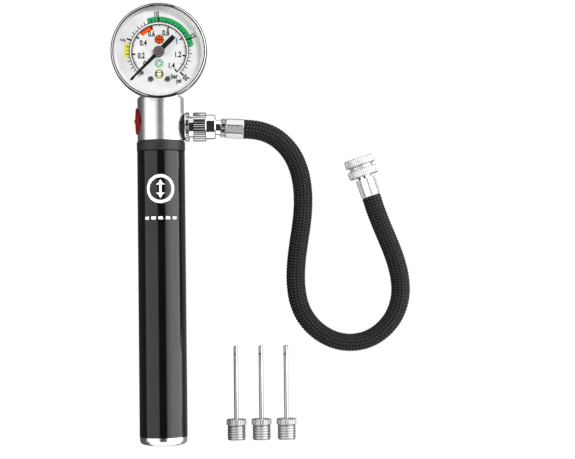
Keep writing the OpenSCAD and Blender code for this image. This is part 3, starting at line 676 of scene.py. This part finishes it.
def make_balls(inks):
    """Three small ball symbols, one in each band's colour."""
    radius = 2.05
    upper, middle, lower = (0.15, 5.75), (0, -5.6), (0, -10.7)
    line = DIAL_TOP + INK["line"]
    mark = DIAL_TOP + INK["mark"]
    orange = Sheet(line)
    orange.disc(upper, radius)
    seams = Sheet(mark)
    seams.band(radius - 0.22, radius + 0.14, 0, 360, upper)
    seams.bar(upper, 2 * radius, 0.4)
    seams.bar(upper, 0.36, 2 * radius)
    for side in (-1, 1):
        facing = 90 + 90 * side
        seams.band(1.45, 1.8, facing - 50, facing + 50, (upper[0] + side * 2.4, upper[1]))
    green = Sheet(line)
    green.band(radius - 0.35, radius, 0, 360, middle)
    for turn in range(6):
        green.band(0.55, radius - 0.55, 60 * turn, 60 * turn + 34, middle)
    yellow = Sheet(line)
    grey = Sheet(mark)
    for start in (40, 220):
        yellow.band(0.2, radius - 0.2, start, start + 100, lower)
    grey.band(radius - 0.35, radius + 0.05, 0, 360, lower)
    for y in (-10.15, -11.25):
        grey.bar((0, y), 3.3, 0.3)
    for side in (-1, 1):
        grey.bar((side * 1.25, lower[1]), 0.55, 2.6)
    white = Sheet(line + 0.005 * MM)
    white.bar(lower, 1.7, 0.75)
    orange.make("ball_orange", inks["orange"])
    seams.make("ball_seams", inks["seam"])
    green.make("ball_green", inks["green"])
    yellow.make("ball_yellow", inks["yellow"])
    grey.make("ball_grey", inks["grey"])
    white.make("ball_white", inks["white"])


def make_dial():
    inks = {name: print_ink("ink_" + name, colour) for name, colour in INK_COLOURS.items()}
    for colour, (inner, outer, start, end) in COLOUR_BANDS.items():
        sheet = Sheet(DIAL_TOP + INK["band"])
        sheet.band(inner, outer, start, end)
        sheet.make("band_" + colour, inks[colour])
    scales = make_scales()
    write_figures(scales)
    scales.make("dial_scales", inks["black"])
    make_balls(inks)


# ---------- handle's print ----------

HANDLE_R = 11.45 * MM
PRINT_R = HANDLE_R + 0.02 * MM


def wrap(x, y):
    """A point x millimetres round the handle from its top and y along it, just off its surface."""
    angle = x * MM / PRINT_R
    return (PRINT_R * math.sin(angle), y * MM, BARREL_Z + PRINT_R * math.cos(angle))


def make_handle_print():
    """A plain pictogram that says to push and pull: a double arrow in a ring, over five dashes."""
    centre = -65.0
    ring_inner, ring_outer, steps = 5.4, 6.9, 60
    stem_half, stem_reach = 0.55, 2.2
    head_half, head_base, head_tip, point = 2.1, 1.9, 4.4, 0.02
    dash_half, dash_gap, dash_low, dash_high = 1.1, 3.5, -79.6, -78.2
    vertices = []
    faces = []

    def patch(corners, rows=1, columns=8):
        """Four corners, low left first and anticlockwise, cut up so that the patch follows the tube."""
        first = len(vertices)
        a, b, c, d = [Vector(p) for p in corners]
        for j in range(rows + 1):
            for i in range(columns + 1):
                low = a.lerp(b, i / columns)
                high = d.lerp(c, i / columns)
                vertices.append(wrap(*low.lerp(high, j / rows)))
        for j in range(rows):
            for i in range(columns):
                at = first + j * (columns + 1) + i
                faces.append((at, at + 1, at + columns + 2, at + columns + 1))

    for i in range(steps):
        a, b = [math.tau * k / steps for k in (i, i + 1)]
        patch([(r * math.cos(t), centre + r * math.sin(t))
               for r, t in ((ring_inner, a), (ring_outer, a), (ring_outer, b), (ring_inner, b))],
              columns=1)
    patch([(-stem_half, centre - stem_reach), (stem_half, centre - stem_reach),
           (stem_half, centre + stem_reach), (-stem_half, centre + stem_reach)])
    for side in (-1, 1):
        tip = centre + side * head_tip
        base = centre + side * head_base
        wide = [(-head_half, base), (head_half, base)]
        narrow = [(point, tip), (-point, tip)]
        patch(wide + narrow if side > 0 else narrow + wide)
    for i in range(5):
        x = dash_gap * (i - 2)
        patch([(x - dash_half, dash_low), (x + dash_half, dash_low),
               (x + dash_half, dash_high), (x - dash_half, dash_high)])
    white = print_ink("print_white", shade(0.86), 0.35)
    obj = piece("handle_print", vertices, faces, "handle", white)


# ---------- stage ----------

# The tunnel's radius and half its length, the top of its end walls, and the height where one is split
TENT_R = 0.7
TENT_END = 1.0
TENT_TOP = 0.72
TENT_HEM = -0.15


def glow(name, strength):
    """An even white glow."""
    material = bpy.data.materials.new(name)
    material.use_nodes = True
    nodes = material.node_tree.nodes
    nodes.clear()
    emission = nodes.new("ShaderNodeEmission")
    output = nodes.new("ShaderNodeOutputMaterial")
    emission.inputs["Strength"].default_value = strength
    material.node_tree.links.new(emission.outputs["Emission"], output.inputs["Surface"])
    return material


def lamp_sheet(name, vertices, faces, strength):
    """A glowing sheet that only reflections see."""
    sheet = piece(name, vertices, faces, material=glow(name, strength))
    sheet.visible_camera = False
    sheet.visible_diffuse = False
    sheet.visible_shadow = False
    return sheet


def tent_wall(name, start, end, strength):
    """Part of a tunnel round the barrel's axis, between two angles from straight up towards +X."""
    steps = max(2, round(abs(end - start) / 3))
    vertices = []
    for i in range(steps + 1):
        angle = math.radians(start + (end - start) * i / steps)
        for y in (-TENT_END, TENT_END):
            vertices.append((TENT_R * math.sin(angle), y, BARREL_Z + TENT_R * math.cos(angle)))
    faces = [(2 * i, 2 * i + 1, 2 * i + 3, 2 * i + 2) for i in range(steps)]
    return lamp_sheet(name, vertices, faces, strength)


def end_wall(name, y, low, high, strength):
    """A wall across the tunnel's end at that Y, between two heights."""
    corners = [(-TENT_R, y, low), (TENT_R, y, low), (TENT_R, y, high), (-TENT_R, y, high)]
    return lamp_sheet(name, corners, [(0, 1, 2, 3)], strength)


def make_tent():
    """Wide walls to both sides of the slot that the camera looks through, and dark ground below."""
    left, left_low, slot, right, right_low, ends, end_low = 1.3, 0.09, 0.03, 3.3, 0.3, 1.7, 1.4
    tent_wall("tent_left", -84, -17, left)
    tent_wall("tent_left_low", -180, -84, left_low)
    tent_wall("tent_slot", -17, 19, slot)
    hem = ((19, 24, 0.45), (24, 30, 0.62), (30, 37, 0.76), (37, 46, 0.88))
    for start, end, share in hem:
        tent_wall(f"tent_right_{start}", start, end, share * right)
    tent_wall("tent_right", 46, 106, right)
    tent_wall("tent_right_low", 106, 180, right_low)
    end_wall("tent_low_end", -TENT_END, -TENT_R, TENT_TOP, ends)
    end_wall("tent_high_end", TENT_END, TENT_HEM, TENT_TOP, ends)
    end_wall("tent_high_end_low", TENT_END, -TENT_R, TENT_HEM, end_low)


def area_light(name, place, aim, size, power):
    """A round lamp that reflections don't see; its size is in metres and its power in watts."""
    data = bpy.data.lights.new(name, "AREA")
    data.shape = "DISK"
    data.size = size
    data.energy = power
    light = bpy.data.objects.new(name, data)
    light.location = place
    light.rotation_euler = (Vector(aim) - Vector(place)).to_track_quat("-Z", "Y").to_euler()
    light.visible_camera = False
    light.visible_glossy = False
    bpy.context.scene.collection.objects.link(light)


def make_lights():
    area_light("fill_over", (0.0, -0.1, 1.3), (0.03, -0.1, 0), 1.8, 16)
    area_light("key_upper_right", (0.62, 0.42, 0.62), (0, -0.02, 0.02), 0.25, 11)
    area_light("fill_left", (-0.5, -0.1, 0.16), (0.09, -0.06, 0.007), 0.2, 3)


def make_world():
    """White all round for the camera; it neither lights nor shows in reflections."""
    world = bpy.data.worlds.new("white")
    world.use_nodes = True
    world.node_tree.nodes["Background"].inputs["Color"].default_value = (1, 1, 1, 1)
    world.cycles_visibility.diffuse = False
    world.cycles_visibility.glossy = False
    bpy.context.scene.world = world


def make_floor():
    """A glowing white floor, a hair below the pump so that the two never share a face."""
    half, height = 3.0, -0.0003
    corners = [(-half, -half, height), (half, -half, height), (half, half, height), (-half, half, height)]
    floor = piece("floor", corners, [(0, 1, 2, 3)], material=glow("floor_white", 1.0))
    floor.visible_glossy = False
    floor.visible_diffuse = False


make_camera()
materials = make_materials()
make_hose(braid("hose_braid"))
dress(materials)
make_dial()
make_handle_print()
make_tent()
make_lights()
make_world()
make_floor()
bpy.context.scene.view_settings.view_transform = "Standard"
bpy.context.scene.cycles.use_denoising = True
